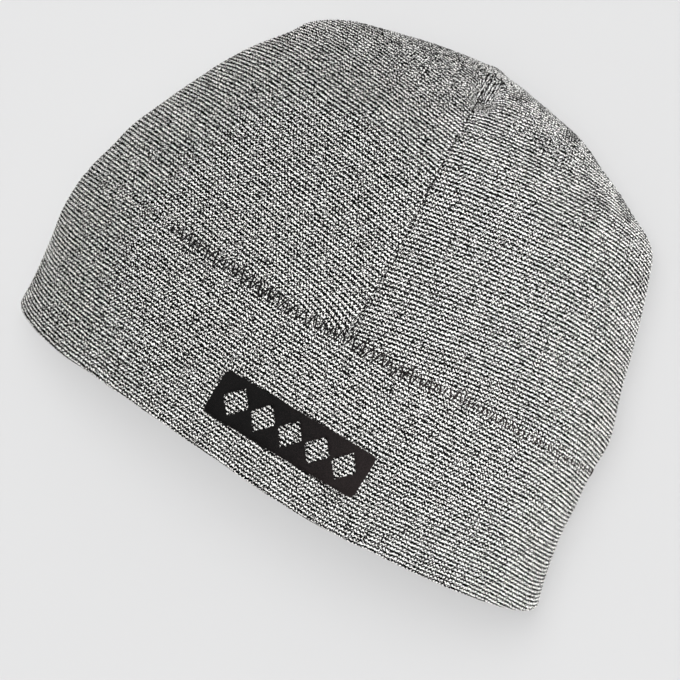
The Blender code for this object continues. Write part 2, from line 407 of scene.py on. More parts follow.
# How the courses run. A rib's line is level with the sheet's rows, plus a rise that grows away from
# the centre seam: first by the slope, then less and less, until it bends down at the side folds. It
# bends more high in the crown. Beside the centre seam the ribs rise more steeply, on the right all
# the way up and near the top on both sides.
CROWN_LEFT_RISE = {
    "slope": 0.109,
    "steeper": 0.0,
    "bend": 0.05,
    "upper_bend": 0.45,
    "power": 9,
    "top_pull": 0.25,
}
CROWN_RIGHT_RISE = {
    "slope": 0.095,
    "steeper": 0.13,
    "bend": 0.50,
    "upper_bend": 0.35,
    "power": 7,
    "top_pull": 0.90,
}
UPPER_BEND_FROM = 0.100
UPPER_BEND_TO = 0.130
CROWN_WALE_LEAN = 0.22
BAND_WALE_LEAN = 0.04
STEEPER_REACH = 0.032
TOP_PULL_REACH = 0.007
TOP_PULL_FROM = 0.80
TOP_PULL_EASE = 0.14
TIGHT_FROM = 0.145
TIGHTENING = 5.2
JUNCTION_PULL = 0.0065
JUNCTION_PULL_WIDTH = 0.014
JUNCTION_PULL_HEIGHT = 0.013
BAND_SLANT = 0.050
BAND_SLANT_END = 0.036
BAND_SLANT_EASE = 0.020
BAND_END = 0.094
BAND_END_FALL = 6.5
BAND_RIB_PITCH = 0.972 * RIB_PITCH
SAG_FOLLOWED = 0.4

# The gathered top: the ribs that are near a short line, which runs down from the eye, loop round it.
# A loose spot, where the knit is in disorder, is a strength, its middle, and half its width and height.
TOP_EYE = (0.0013, 0.1832)
TOP_LINE = 0.010
TOP_REACH = 0.0070
TOP_EASE = 0.6
TOP_RIB_PITCH = 0.66 * RIB_PITCH
LOOSE_SPOTS = (
    (0.55, -0.026, 0.174, 0.024, 0.012),
    (0.50, 0.032, 0.176, 0.026, 0.009),
    (0.20, 0.000, 0.178, 0.010, 0.010),
)


def crown_rise(x, reach, height, top_share, rise):
    """How far the crown's ribs rise above their row at x.

    top_share grows from 0 to 1 over the top of the crown.
    """
    distance = np.abs(x)
    share = distance / reach
    power = rise["power"]
    upper = np.clip((height - UPPER_BEND_FROM) / (UPPER_BEND_TO - UPPER_BEND_FROM), 0, 1)
    bend = rise["bend"] + rise["upper_bend"] * upper
    risen = distance * (rise["slope"] - bend / (power + 1) * share**power)
    risen += rise["steeper"] * STEEPER_REACH * (1 - np.exp(-distance / STEEPER_REACH))
    pull = rise["top_pull"] * top_share * TOP_PULL_REACH
    return risen + pull * (1 - np.exp(-distance / TOP_PULL_REACH))


def tightened(along, height):
    """Distance along the crown's front as the courses count it: they lie closer near the top."""
    return along + TIGHTENING * np.maximum(height - TIGHT_FROM, 0) ** 2


def junction_pull(x, from_seam):
    """How far the ribs left of the centre seam are drawn down where it meets the band seam."""
    beside = np.where(x < 0, np.exp(-((x / JUNCTION_PULL_WIDTH) ** 2)), 0)
    return JUNCTION_PULL * beside * np.exp(-from_seam / JUNCTION_PULL_HEIGHT)


def band_rise(x):
    """How far the band's ribs rise above their row at x.

    They slant down to the right, level out and fall once more at the right end.
    """
    past = (x - BAND_SLANT_END) / BAND_SLANT_EASE
    slant = -BAND_SLANT * (x - BAND_SLANT_EASE * np.logaddexp(0, past))
    return slant - BAND_END_FALL * np.maximum(x - BAND_END, 0) ** 2


def swirled(course, x, y, top_course):
    """The crown's courses, with those near its top turned into loops round the gathered point."""
    eye_x, eye_y = TOP_EYE
    past = y - eye_y
    past = np.where(past > 0, past, np.minimum(past + TOP_LINE, 0))
    distance = np.hypot(x - eye_x, past)
    share = eased(np.clip((TOP_REACH - distance) / (TOP_EASE * TOP_REACH), 0, 1))
    loops = top_course - distance / TOP_RIB_PITCH
    return course + (loops - course) * share


def knit_relief(course, along, across, seed):
    """Height of the ribs over the sheet, highest on the off-white courses."""
    white = 0.5 + 0.5 * np.cos(2 * math.pi * course)
    strength = 1 + RIB_UNEVENNESS * value_noise(across, along, RIB_UNEVENNESS_CELL, seed)
    return RIB_RELIEF * (white**RIB_SHARPNESS - 0.5) * strength


def undulation(points):
    """Soft unevenness of cloth that lies loose, fading out where the hat rests on its back."""
    x, y, z = np.moveaxis(points, -1, 0)
    uneven = sum(height * value_noise(x, y, cell, seed) for height, cell, seed in UNDULATIONS)
    return uneven * np.clip(z / FOLD_RISE, 0, 1)


def seam_closeness(distance):
    """How close a seam is, from 1 at the seam to 0 away from it."""
    return np.exp(-((distance / SEAM_REACH) ** 2))


def groove(distance, depth=SEAM_GROOVE):
    """How deep the knit is drawn in beside a seam."""
    return depth * np.exp(-((distance / SEAM_GROOVE_REACH) ** 2))


def tucked(points, normals, rows=(), columns=()):
    """The grid with these edge rows and columns repeated a tuck deeper, as an edge sewn in a seam."""

    def add(points, normals, end, axis):
        normal = np.take(normals, [end], axis)
        edge = np.take(points, [end], axis) - TUCK * normal
        parts = [edge, points] if end == 0 else [points, edge]
        more = [normal, normals] if end == 0 else [normals, normal]
        return np.concatenate(parts, axis), np.concatenate(more, axis)

    for end in rows:
        points, normals = add(points, normals, end, 0)
    for end in columns:
        points, normals = add(points, normals, end, 1)
    return points


def padded(fields, rows=(), columns=()):
    """The fields with values for the points that tucked() adds."""
    widths = [(int(0 in ends), int(-1 in ends)) for ends in (rows, columns)]
    return {key: np.pad(values, widths, "edge") for key, values in fields.items()}


# A sheet whose columns run backwards faces into the hat
BACKWARDS = slice(None, None, -1)


def band_outside_sheets(material):
    """The band's fine sheet over the front and round the rim, and the coarser one under the hat."""
    spans = (
        (-SIDE_TURN, SIDE_TURN, FRONT_SPACING),
        (SIDE_TURN, 2 * math.pi - SIDE_TURN, BACK_SPACING),
    )
    turns, starts = joined_turns(spans, SEAM_PLACE / 2)
    places, along = even_places(0, SEAM_PLACE, RIB_PITCH / ROWS_PER_RIB)
    places, along = places[along >= RIM_RADIUS], along[along >= RIM_RADIUS]
    points = hat_surface(places[:, None], turns[None, :])
    normals = grid_normals(points)

    down = unit(points[0] - points[1])[None]
    angles = np.linspace(math.pi, 0, RIM_FOLD_ROWS, endpoint=False)[:, None, None]
    out = normals[0][None]
    fold = points[:1] + RIM_RADIUS * ((np.cos(angles) - 1) * out + np.sin(angles) * down)
    fold_normals = np.cos(angles) * out + np.sin(angles) * down
    points = np.concatenate([fold, points])
    normals = np.concatenate([fold_normals, normals])
    along = np.concatenate([along[0] - RIM_RADIUS * angles[:, 0, 0], along])[:, None]

    x = points[..., 0]
    height = np.pad(at_places(places)["rise"] * HAT_HEIGHT, (RIM_FOLD_ROWS, 0), "edge")[:, None]
    unsagged = (1 - SAG_FOLLOWED) * sag_at(np.sin(turns), height)
    course = (along - unsagged - band_rise(x)) / BAND_RIB_PITCH
    wale = wales_from_centre(points, turns) + BAND_WALE_LEAN * course
    from_seam = along[-1] - along
    near_seam = np.broadcast_to(BAND_SEAM_DISORDER * seam_closeness(from_seam), x.shape)
    relief = knit_relief(course, along, x, BAND_RELIEF_SEED) + undulation(points)
    relief -= groove(from_seam)
    points = tucked(points + normals * relief[..., None], normals, rows=(-1,))
    fields = padded({"course": course, "wale": wale, "near_seam": near_seam}, rows=(-1,))
    split = starts[1]
    columns = {"band_outside": slice(0, split + 1), "band_underside": slice(split, None)}
    return make_sheets(columns, points, fields, material)


def band_inside_sheet(material):
    """The band's sheet inside the hat."""
    turns, _ = joined_turns(((-math.pi, math.pi, INSIDE_SPACING),), SEAM_PLACE / 2)
    places, along = even_places(0, SEAM_PLACE, INSIDE_SPACING)
    places, along = places[along >= RIM_RADIUS / 2], along[along >= RIM_RADIUS / 2]
    outer = hat_surface(places[:, None], turns[None, :])
    inner = outer - BAND_WALL * grid_normals(outer)
    course = (-along[:, None] - band_rise(outer[..., 0])) / RIB_PITCH
    fields = {"course": course, "wale": wales_from_centre(outer, turns)}
    return make_sheets({"band_inside": BACKWARDS}, inner, fields, material)


def make_band(material):
    """The band: a fine sheet in front, a coarser one under the hat and one inside."""
    for piece in band_outside_sheets(material) + band_inside_sheet(material):
        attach(piece, "root")
        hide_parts("band")


def crown_fields(side, section, x, reach, points, turns, along):
    """The courses, wales and disorder of the knit at each point of a half of the crown."""
    share = section["rise"][:, None]
    height = share * HAT_HEIGHT
    top_share = np.clip((share - TOP_PULL_FROM) / TOP_PULL_EASE, 0, 1) ** 2
    rise = crown_rise(x, reach, height, top_share, CROWN_RIGHT_RISE if side > 0 else CROWN_LEFT_RISE)
    sag = sag_at(np.sin(turns), height) - sag_at(0, height)
    counted = tightened(along, height) - (1 - SAG_FOLLOWED) * sag
    course = (counted - rise + junction_pull(x, along)) / RIB_PITCH
    wale = wales_from_centre(points, turns) + side * CROWN_WALE_LEAN * course
    y = points[..., 1]
    centre_y = y[:, int(np.argmin(np.abs(turns)))]
    course = swirled(course, x, y, np.interp(TOP_EYE[1], centre_y, counted[:, 0]) / RIB_PITCH)
    by_band, by_centre = BAND_SEAM_DISORDER * seam_closeness(along), seam_closeness(x)
    near_seam = np.maximum(by_band, CENTRE_SEAM_DISORDER * by_centre)
    for strength, middle_x, middle_y, half_width, half_height in LOOSE_SPOTS:
        spot = ((x - middle_x) / half_width) ** 2 + ((y - middle_y) / half_height) ** 2
        near_seam = np.maximum(near_seam, strength * np.exp(-spot))
    return {"course": course, "wale": wale, "near_seam": near_seam}


def closed_top(points, normals, fields):
    """The grid with rows added that close the gathered top, where the courses run on."""
    centre = points[-1].mean(0)
    centre[0] = -lean_at(centre[1])
    shares = np.linspace(0, 1, CLOSING_ROWS + 1)[1:, None, None] * CLOSING_SHARE
    closing = points[-1:] * (1 - shares) + centre * shares
    closing[..., 1] += CLOSING_BULGE * np.sin(shares[..., 0] * math.pi / 2)
    points = np.concatenate([points, closing])
    normals = np.concatenate([normals, np.repeat(normals[-1:], CLOSING_ROWS, 0)])
    widths = ((0, CLOSING_ROWS), (0, 0))
    last_course = fields["course"].max() + CLOSING_RIBS
    closed = {key: np.pad(values, widths, "edge") for key, values in fields.items()}
    closed["course"] = np.pad(fields["course"], widths, "linear_ramp", end_values=last_course)
    return points, normals, closed


def crown_outside_sheets(name, side, material):
    """A half's fine sheet over the front and its coarser one under the hat."""
    spans = ((0, SIDE_TURN, FRONT_SPACING), (SIDE_TURN, math.pi, BACK_SPACING))
    if side < 0:
        spans = ((-math.pi, -SIDE_TURN, BACK_SPACING), (-SIDE_TURN, 0, FRONT_SPACING))
    turns, starts = joined_turns(spans, SEAM_PLACE + 1)
    places, along = even_places(SEAM_PLACE, LAST, RIB_PITCH / ROWS_PER_RIB)
    points = hat_surface(places[:, None], turns[None, :])
    normals = grid_normals(points)
    along = along[:, None]

    section = at_places(places)
    reach = section["right" if side > 0 else "left"][:, None] * RIM_WIDTH / 2
    x = reach * np.sin(turns)
    fields = crown_fields(side, section, x, reach, points, turns, along)
    relief = knit_relief(fields["course"], along, x, CROWN_RELIEF_SEED) + undulation(points)
    relief -= groove(along) + groove(x, CENTRE_GROOVE) * np.clip(reach / CENTRE_GROOVE_FULL_FROM, 0, 1)
    points, normals, fields = closed_top(points + normals * relief[..., None], normals, fields)

    edges = {"rows": (0,), "columns": (0, -1)}
    points, fields = tucked(points, normals, **edges), padded(fields, **edges)
    split = starts[1] + 1
    before, after = slice(0, split + 1), slice(split, None)
    front, under = (before, after) if side > 0 else (after, before)
    columns = {f"{name}_outside": front, f"{name}_underside": under}
    return make_sheets(columns, points, fields, material)


def crown_inside_sheet(name, side, material):
    """A half's sheet inside the hat, which ends at the centre seam."""
    ends = (0, math.pi) if side > 0 else (-math.pi, 0)
    turns, _ = joined_turns(((*ends, INSIDE_SPACING),), SEAM_PLACE + 1)
    places, along = even_places(SEAM_PLACE, LAST, INSIDE_SPACING)
    outer = hat_surface(places[:, None], turns[None, :])
    inner = outer - CROWN_WALL * grid_normals(outer)
    seam_x = -lean_at(inner[..., 1])
    inner[..., 0] = seam_x + side * np.maximum(side * (inner[..., 0] - seam_x), 0)
    course = np.broadcast_to(along[:, None], inner.shape[:2]) / RIB_PITCH
    fields = {"course": course, "wale": wales_from_centre(outer, turns)}
    return make_sheets({f"{name}_inside": BACKWARDS}, inner, fields, material)


def make_crown_half(name, side, material):
    """One half of the crown: a fine sheet in front, a coarser one under the hat and one inside."""
    sheets = crown_outside_sheets(name, side, material) + crown_inside_sheet(name, side, material)
    for piece in sheets:
        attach(piece, "root")
        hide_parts(name)


# Threads are tubes. A stitch rises and sinks by multiples of its radius, and is thinner at its ends.
THREAD_SIDES = 6
THREAD_RINGS = 9
STITCH_ROUNDNESS = 0.7
STITCH_RISE = 2.2
STITCH_SINK = 1.6
STITCH_END_RADIUS = 0.55
STITCH_SWELL = 0.45


def make_threads(name, centres, outward, radii, material):
    """Threads as one mesh of tubes.

    centres and outward are arrays of (thread, ring, 3), and radii is one of (thread, ring).
    """
    tangents = unit(np.gradient(centres, axis=1))
    sideways = unit(np.cross(tangents, outward))
    outward = np.cross(sideways, tangents)
    angles = np.linspace(0, 2 * math.pi, THREAD_SIDES, endpoint=False)[:, None]
    spokes = np.cos(angles) * sideways[:, :, None] + np.sin(angles) * outward[:, :, None]
    points = centres[:, :, None] + radii[:, :, None, None] * spokes
    index = np.arange(points[..., 0].size).reshape(points.shape[:3])
    after = np.roll(index, -1, axis=2)
    corners = (index[:, :-1], after[:, :-1], after[:, 1:], index[:, 1:])
    faces = np.stack([corner.ravel() for corner in corners], -1)
    flat = points.reshape(-1, 3)[:, :2]
    return add_piece(name, points, faces, (flat - flat.min(0)) / np.ptp(flat, axis=0), material)


def stitched(name, start, end, lift, radius, material):
    """Single stitches between (place, turn) pairs, which come up out of the cloth and go down again."""
    share = np.linspace(0, 1, THREAD_RINGS)
    place, turn = (a[:, None] * (1 - share) + b[:, None] * share for a, b in zip(start, end))
    outward = surface_normal(place, turn)
    points = hat_surface(place, turn)
    arch = np.sin(math.pi * share) ** STITCH_ROUNDNESS
    height = undulation(points) + lift[:, None] + (STITCH_RISE * arch - STITCH_SINK) * radius
    radii = np.broadcast_to(radius * (STITCH_END_RADIUS + STITCH_SWELL * arch), height.shape)
    return make_threads(name, points + outward * height[..., None], outward, radii, material)


# The seams' stitches. A lift is the least and the most that a stitch stands out of the cloth. The
# zigzag is sunk out of sight on the far left and half sunk on the right, where a turn says how far
# round the hat that ends or starts, and an ease how softly.
STITCH_SEED = 7
ZIGZAG_RUN = 0.00230
ZIGZAG_RUN_JITTER = 0.0024
ZIGZAG_HEIGHT = 0.0068
ZIGZAG_HEIGHT_JITTER = 0.0004
ZIGZAG_LIFT = (-0.00018, 0.00040)
ZIGZAG_RADIUS = 0.00036
SUNK_STITCHES = 0.0018
SUNK_TURN = -0.76
SUNK_EASE = 0.05
HALF_SUNK_STITCHES = 0.0006
HALF_SUNK_TURN = 0.38
HALF_SUNK_EASE = 0.10
CENTRE_STITCH_PITCH = 0.0038
CENTRE_STITCH_JITTER = 0.0003
CENTRE_STITCH_LENGTH = 0.0024
CENTRE_STITCH_SHARES = (0.6, 1.2)
CENTRE_STITCH_TURNS = 0.003
CENTRE_STITCH_LIFT = (-0.00060, -0.00010)
CENTRE_STITCH_RADIUS = 0.00034


def band_seam_stitches(random, material):
    """The black zigzag over the band seam."""
    turns = even_turns(-math.pi, math.pi, ZIGZAG_RUN, SEAM_PLACE)
    turns = turns + random.normal(0, ZIGZAG_RUN_JITTER, turns.shape)
    upper = np.arange(len(turns)) % 2 * 2 - 1
    height = BAND_HEIGHT + upper * ZIGZAG_HEIGHT / 2
    places = place_at_rise(height + random.normal(0, ZIGZAG_HEIGHT_JITTER, turns.shape))
    lift = random.uniform(*ZIGZAG_LIFT, len(turns) - 1)
    lift -= SUNK_STITCHES / (1 + np.exp((turns[:-1] - SUNK_TURN) / SUNK_EASE))
    lift -= HALF_SUNK_STITCHES / (1 + np.exp((HALF_SUNK_TURN - turns[:-1]) / HALF_SUNK_EASE))
    start, end = (places[:-1], turns[:-1]), (places[1:], turns[1:])
    return stitched("band_seam_stitches", start, end, lift, ZIGZAG_RADIUS, material)


def centre_seam_stitches(random, material):
    """The stitches that show in the groove of the centre seam."""
    fine, along = centre_line(SEAM_PLACE, LAST - 1)
    starts = np.arange(CENTRE_STITCH_PITCH, along[-1] - CENTRE_STITCH_PITCH, CENTRE_STITCH_PITCH)
    starts = starts + random.normal(0, CENTRE_STITCH_JITTER, starts.shape)
    lengths = CENTRE_STITCH_LENGTH * random.uniform(*CENTRE_STITCH_SHARES, starts.shape)
    places = [np.interp(at, along, fine) for at in (starts, starts + lengths)]
    turns = random.normal(0, CENTRE_STITCH_TURNS, (2, len(starts)))
    lift = random.uniform(*CENTRE_STITCH_LIFT, len(starts))
    start, end = zip(places, turns)
    return stitched("centre_seam_stitches", start, end, lift, CENTRE_STITCH_RADIUS, material)


def make_seam_stitches(material):
    """The stitches of both seams, with their small accidents."""
    random = np.random.default_rng(STITCH_SEED)
    band = band_seam_stitches(random, material)
    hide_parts("band")
    centre = centre_seam_stitches(random, material)
    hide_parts("crown_left")
    for piece in (band, centre):
        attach(piece, "root")


# The badge: its sizes as in the CAD solid, and its satin stitches. The heights of the backing and of
# the stitches, and how much the stitches swell, are shares of the badge's thickness.
BADGE_CORNER = 0.003
BADGE_GAP = 0.0003
BADGE_THICKNESS = 0.0009
DIAMOND_COUNT = 5
DIAMOND_LENGTH = 0.0118
DIAMOND_HEIGHT = 0.0136
DIAMOND_PITCH = 0.0131
SATIN_SEED = 3
SATIN_PITCH = 0.00034
SATIN_RADIUS = 0.00023
SATIN_SLANT = 0.10
SATIN_END_JITTER = 0.00032
SATIN_LIFT_JITTER = 0.00004
SATIN_ROUNDNESS = 0.35
SATIN_HEIGHT = 0.35
SATIN_SWELL = 0.45
BACKING_HEIGHT = 0.3
BACKING_CELL = 0.0004


def badge_half_height(x, length, height):
    """Half of the badge's height at x, which is less in its round corners."""
    into_corner = np.clip(np.abs(x) - (length / 2 - BADGE_CORNER), 0, BADGE_CORNER)
    drop = BADGE_CORNER - np.sqrt(BADGE_CORNER**2 - into_corner**2)
    return height / 2 - drop


def window_half_height(x):
    """Half of the height of the diamond window at x, or nothing between two windows."""
    centres = (np.arange(DIAMOND_COUNT) - (DIAMOND_COUNT - 1) / 2) * DIAMOND_PITCH
    nearest = np.min(np.abs(np.asarray(x)[..., None] - centres), -1)
    return np.maximum(DIAMOND_HEIGHT / 2 * (1 - nearest / (DIAMOND_LENGTH / 2)), 0)


def badge_stitches(length, height, centre, material):
    """The badge's satin stitches, with diamond windows left open."""
    random = np.random.default_rng(SATIN_SEED)
    ends = []
    for x in np.arange(-length / 2 + SATIN_PITCH / 2, length / 2, SATIN_PITCH):
        outer = badge_half_height(x, length, height)
        window = window_half_height(x)
        spans = [(-outer, outer)] if window < SATIN_PITCH else [(-outer, -window), (window, outer)]
        ends.extend((x, low, high) for low, high in spans)
    x, low, high = np.array(ends).T
    low, high = (edge + random.normal(0, SATIN_END_JITTER, edge.shape) for edge in (low, high))
    share = np.linspace(0, 1, THREAD_RINGS)
    y = low[:, None] * (1 - share) + high[:, None] * share
    x = np.clip(x[:, None] + SATIN_SLANT * y, -length / 2 + SATIN_RADIUS, length / 2 - SATIN_RADIUS)
    place, turn = surface_at(x + centre[0], y + centre[1])
    outward = surface_normal(place, turn)
    points = hat_surface(place, turn)
    arch = np.sin(math.pi * share) ** SATIN_ROUNDNESS
    rise = BADGE_GAP + SATIN_HEIGHT * BADGE_THICKNESS + SATIN_SWELL * BADGE_THICKNESS * arch
    rise = rise + undulation(points) + random.normal(0, SATIN_LIFT_JITTER, (len(x), 1))
    radii = np.broadcast_to(SATIN_RADIUS * (1 + arch) / 2, x.shape)
    points = points + outward * rise[..., None]
    return make_threads("badge_satin_stitches", points, outward, radii, material)


def badge_backing(length, height, centre, material):
    """The dark cloth under the stitches, with the same windows."""
    x = np.arange(-length / 2 + SATIN_RADIUS, length / 2, BACKING_CELL)
    y = np.arange(-height / 2 + SATIN_RADIUS, height / 2, BACKING_CELL)
    x, y = np.meshgrid(x, y)
    place, turn = surface_at(x + centre[0], y + centre[1])
    points = hat_surface(place, turn)
    rise = undulation(points) + BADGE_GAP + BACKING_HEIGHT * BADGE_THICKNESS
    points += surface_normal(place, turn) * rise[..., None]
    backing = make_sheet("badge_backing", points, {}, material)
    middle_x, middle_y = (axis[:-1, :-1] + BACKING_CELL / 2 for axis in (x, y))
    outer = badge_half_height(middle_x, length, height) - SATIN_RADIUS
    window = window_half_height(middle_x - SATIN_SLANT * middle_y)
    in_window = (np.abs(middle_y) < window + SATIN_RADIUS) & (window > 0)
    open_cells = (np.abs(middle_y) > outer) | in_window
    remove_faces(backing, np.flatnonzero(open_cells.ravel()))
    return backing


def remove_faces(obj, faces):
    """Deletes these faces of the object's mesh."""
    mesh = bmesh.new()
    mesh.from_mesh(obj.data)
    mesh.faces.ensure_lookup_table()
    bmesh.ops.delete(mesh, geom=[mesh.faces[i] for i in faces], context="FACES")
    mesh.to_mesh(obj.data)
    mesh.free()


def make_badge(material):
    """The embroidered badge: satin stitches over a dark backing, with diamond windows."""
    length, height = BADGE_HIGH[0] - BADGE_LOW[0], BADGE_HIGH[1] - BADGE_LOW[1]
    centre = (BADGE_LOW[:2] + BADGE_HIGH[:2]) / 2
    satin = badge_stitches(length, height, centre, material)
    backing = badge_backing(length, height, centre, material)
    for piece in (satin, backing):
        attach(piece, "root")
        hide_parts("badge")


class Nodes:
    """Short ways to add nodes to a material's or the world's tree."""

    def __init__(self, owner, shader="Principled BSDF"):
        owner.use_nodes = True
        self.tree = owner.node_tree
        self.shader = self.tree.nodes[shader]

    def link(self, value, socket):
        """Gives the socket a number or colour, or another node's output."""
        if isinstance(value, (int, float, tuple)):
            socket.default_value = value
        else:
            self.tree.links.new(value, socket)

    def math(self, operation, *values, clamp=False):
        """The result of the operation on these values."""
        node = self.tree.nodes.new("ShaderNodeMath")
        node.operation = operation
        node.use_clamp = clamp
        for value, socket in zip(values, node.inputs):
            self.link(value, socket)
        return node.outputs[0]

    def line(self, value, slope, start, clamp=False):
        """start, plus the slope times the value."""
        return self.math("MULTIPLY_ADD", value, slope, start, clamp=clamp)

    def plus(self, value, more, strength):
        """value, plus more of something at a strength."""
        return self.math("ADD", value, self.math("MULTIPLY", more, strength))

    def wave(self, turns):
        """A cosine wave over whole turns."""
        return self.math("COSINE", self.math("MULTIPLY", turns, 2 * math.pi))

    def attribute(self, name):
        """A mesh attribute's value."""
        node = self.tree.nodes.new("ShaderNodeAttribute")
        node.attribute_name = name
        return node.outputs["Fac"]

    def position(self):
        """The place in the object's own frame, which is the CAD frame for the hat's pieces."""
        return self.tree.nodes.new("ShaderNodeTexCoord").outputs["Object"]

    def x_of(self, place):
        """The place's x."""
        axes = self.tree.nodes.new("ShaderNodeSeparateXYZ")
        self.link(place, axes.inputs[0])
        return axes.outputs["X"]

    def noise(self, place, scale, detail):
        """Noise about 0. The scale is in features for each metre."""
        node = self.tree.nodes.new("ShaderNodeTexNoise")
        node.inputs["Scale"].default_value = scale
        node.inputs["Detail"].default_value = detail
        self.link(place, node.inputs["Vector"])
        return self.math("SUBTRACT", node.outputs[0], 0.5)

    def ramp(self, value, stops):
        """The colour at this value on a ramp of (value, colour) stops."""
        node = self.tree.nodes.new("ShaderNodeValToRGB")
        ramp = node.color_ramp
        while len(ramp.elements) < len(stops):
            ramp.elements.new(0.5)
        for element, (place, colour) in zip(ramp.elements, stops):
            element.position = place
            element.color = (*colour, 1.0)
        self.link(value, node.inputs[0])
        return node.outputs[0]

    def surface(self, colour, roughness, shine):
        """Sets the shader's colour, roughness and specular level."""
        self.link(colour, self.shader.inputs["Base Color"])
        self.link(roughness, self.shader.inputs["Roughness"])
        self.link(shine, self.shader.inputs["Specular IOR Level"])

    def bump(self, height, distance):
        """Bumps in the shader's surface."""
        node = self.tree.nodes.new("ShaderNodeBump")
        node.inputs["Distance"].default_value = distance
        self.link(height, node.inputs["Height"])
        self.link(node.outputs[0], self.shader.inputs["Normal"])


# The knit's pattern and colour. A noise is a scale and a detail. FUZZ, STRIPES and the paleness change
# along the hat's x, by a slope from their value in the middle. The paleness's slope is painted light
# and shade: the knit is painted darker on the hat's left and paler on its right, as the side light
# falls. The stripes' slope is partly painted shade, which darkens the black courses on the left. A
# name that starts with SEAM_ is for the knit's disorder at seams and loose spots; the paleness there
# is also painted light, which lifts the shade of the seams' grooves.
SWAY_NOISE = (90.0, 2.0)
SWAY = 0.7
JITTER_NOISE = (420.0, 2.0)
JITTER = 0.25
SEAM_JITTER = 1.1
WALE_NOISE = (260.0, 1.0)
WALE_SWAY = 0.9
LOOP_BOW = 0.125
LOOP_SLANT = 0.08
# The stripes' slope along x is painted shade, which darkens the black courses on the hat's left.
STRIPES = (-4.0, 1.68)
FAINTEST_STRIPES = 0.8
WEAR_NOISE = (130.0, 2.0)
WEAR = 0.5
SEAM_FADING = 0.75
LOOP_ENDS = 0.20
LOOP_ENDS_ON_RIB = 0.32
SEAM_LOOP_ENDS = 0.9
FIBRE_NOISE = (2200.0, 0.0)
FUZZ = (-28.0, 10.0)
CLUMP_NOISE = (900.0, 2.0)
CLUMPS = 0.2
DOT_NOISE = (1600.0, 0.0)
SEAM_DOTS = 9.0
# The paleness at seams and loose spots is partly painted light over the seams' grooves.
SEAM_PALE_AND_PAINTED_LIGHT = 0.35
# Painted light and shade along the hat's x: darker on the left, paler on the right.
PAINTED_SIDE_LIGHT = (3.8, -0.43)
KNIT_COLOURS = (
    (0.00, (0.003, 0.003, 0.003)),
    (0.30, (0.010, 0.010, 0.010)),
    (0.50, (0.140, 0.137, 0.131)),
    (0.70, (0.560, 0.552, 0.532)),
    (1.00, (0.980, 0.975, 0.955)),
)
KNIT_ROUGHNESS = 0.85
KNIT_SHINE = 0.01
KNIT_BUMP = 0.00016
STRIPE_BUMP = 0.5
FIBRE_BUMP = 0.6
LOOP_END_BUMP = 0.2


def knit_material():
    """Jersey of black and off-white yarn: rows of loops in ribs, in disorder at the seams, with fuzz."""
    material = bpy.data.materials.new("marled_knit")
    n = Nodes(material)
    place = n.position()
    x = n.x_of(place)
    near_seam = n.attribute("near_seam")

    course = n.plus(n.attribute("course"), n.noise(place, *SWAY_NOISE), SWAY)
    course = n.plus(course, n.noise(place, *JITTER_NOISE), n.line(near_seam, SEAM_JITTER, JITTER))
    wale = n.plus(n.attribute("wale"), n.noise(place, *WALE_NOISE), WALE_SWAY)
    ends = n.wave(wale)
    slant = n.math("MULTIPLY", n.math("SUBTRACT", n.math("FRACT", wale), 0.5), LOOP_SLANT)
    stripe = n.wave(n.math("ADD", course, n.line(ends, LOOP_BOW, slant)))

    # Random wear, plus painted shade: the stripes grow stronger towards the hat's left, which darkens
    # its black courses.
    wear_and_painted_shade = n.line(n.noise(place, *WEAR_NOISE), WEAR, n.line(x, *STRIPES))
    even = n.line(near_seam, -SEAM_FADING, 1.0)
    strength = n.math("MULTIPLY", n.math("MAXIMUM", wear_and_painted_shade, FAINTEST_STRIPES), even)
    value = n.math("MULTIPLY", stripe, strength)
    on_rib = n.line(stripe, LOOP_ENDS_ON_RIB, n.line(near_seam, SEAM_LOOP_ENDS, LOOP_ENDS))
    value = n.math("SUBTRACT", value, n.math("MULTIPLY", ends, on_rib))
    fibre = n.noise(place, *FIBRE_NOISE)
    value = n.plus(value, fibre, n.line(x, *FUZZ))
    value = n.plus(value, n.noise(place, *CLUMP_NOISE), CLUMPS)
    dots = n.math("MULTIPLY", n.noise(place, *DOT_NOISE), n.math("MULTIPLY", near_seam, SEAM_DOTS))
    # Paler where the knit is in disorder, partly painted light that lifts the shade of the seams'
    # grooves.
    value = n.math("ADD", value, n.line(near_seam, SEAM_PALE_AND_PAINTED_LIGHT, dots))
    # Painted light and shade: the knit is painted darker on the hat's left and paler on its right, as
    # the side light falls.
    value = n.math("ADD", value, n.line(x, *PAINTED_SIDE_LIGHT), clamp=True)
    n.surface(n.ramp(value, KNIT_COLOURS), KNIT_ROUGHNESS, KNIT_SHINE)

    height = n.plus(n.math("MULTIPLY", stripe, STRIPE_BUMP), fibre, FIBRE_BUMP)
    height = n.math("SUBTRACT", height, n.math("MULTIPLY", ends, LOOP_END_BUMP))
    n.bump(height, KNIT_BUMP)
    return material


# The thread's colour, which runs along the hat's x like the knit's: painted light makes it lighter and
# browner towards the hat's right
THREAD_PAINTED_LIGHT = (14.0, 0.15)
MOTTLE_NOISE = (1800.0, 2.0)
MOTTLE = 1.6
THREAD_COLOURS = ((0.0, (0.003, 0.003, 0.003)), (1.0, (0.022, 0.016, 0.016)))
THREAD_ROUGHNESS = 0.6
THREAD_SHINE = 0.08
TWIST_NOISE = (2600.0, 2.0)
THREAD_BUMP = 0.00008


def thread_material():
    """Black thread with painted light, lighter and browner towards the hat's right, and the fine twist
    of its strands.
    """
    material = bpy.data.materials.new("black_thread")
    n = Nodes(material)
    place = n.position()
    x = n.x_of(place)
    # Painted light: the thread grows lighter and browner towards the hat's right.
    painted_light = n.line(x, *THREAD_PAINTED_LIGHT, clamp=True)
    mottled = n.line(n.noise(place, *MOTTLE_NOISE), MOTTLE, painted_light, clamp=True)
    n.surface(n.ramp(mottled, THREAD_COLOURS), THREAD_ROUGHNESS, THREAD_SHINE)
    n.bump(n.noise(place, *TWIST_NOISE), THREAD_BUMP)
    return material


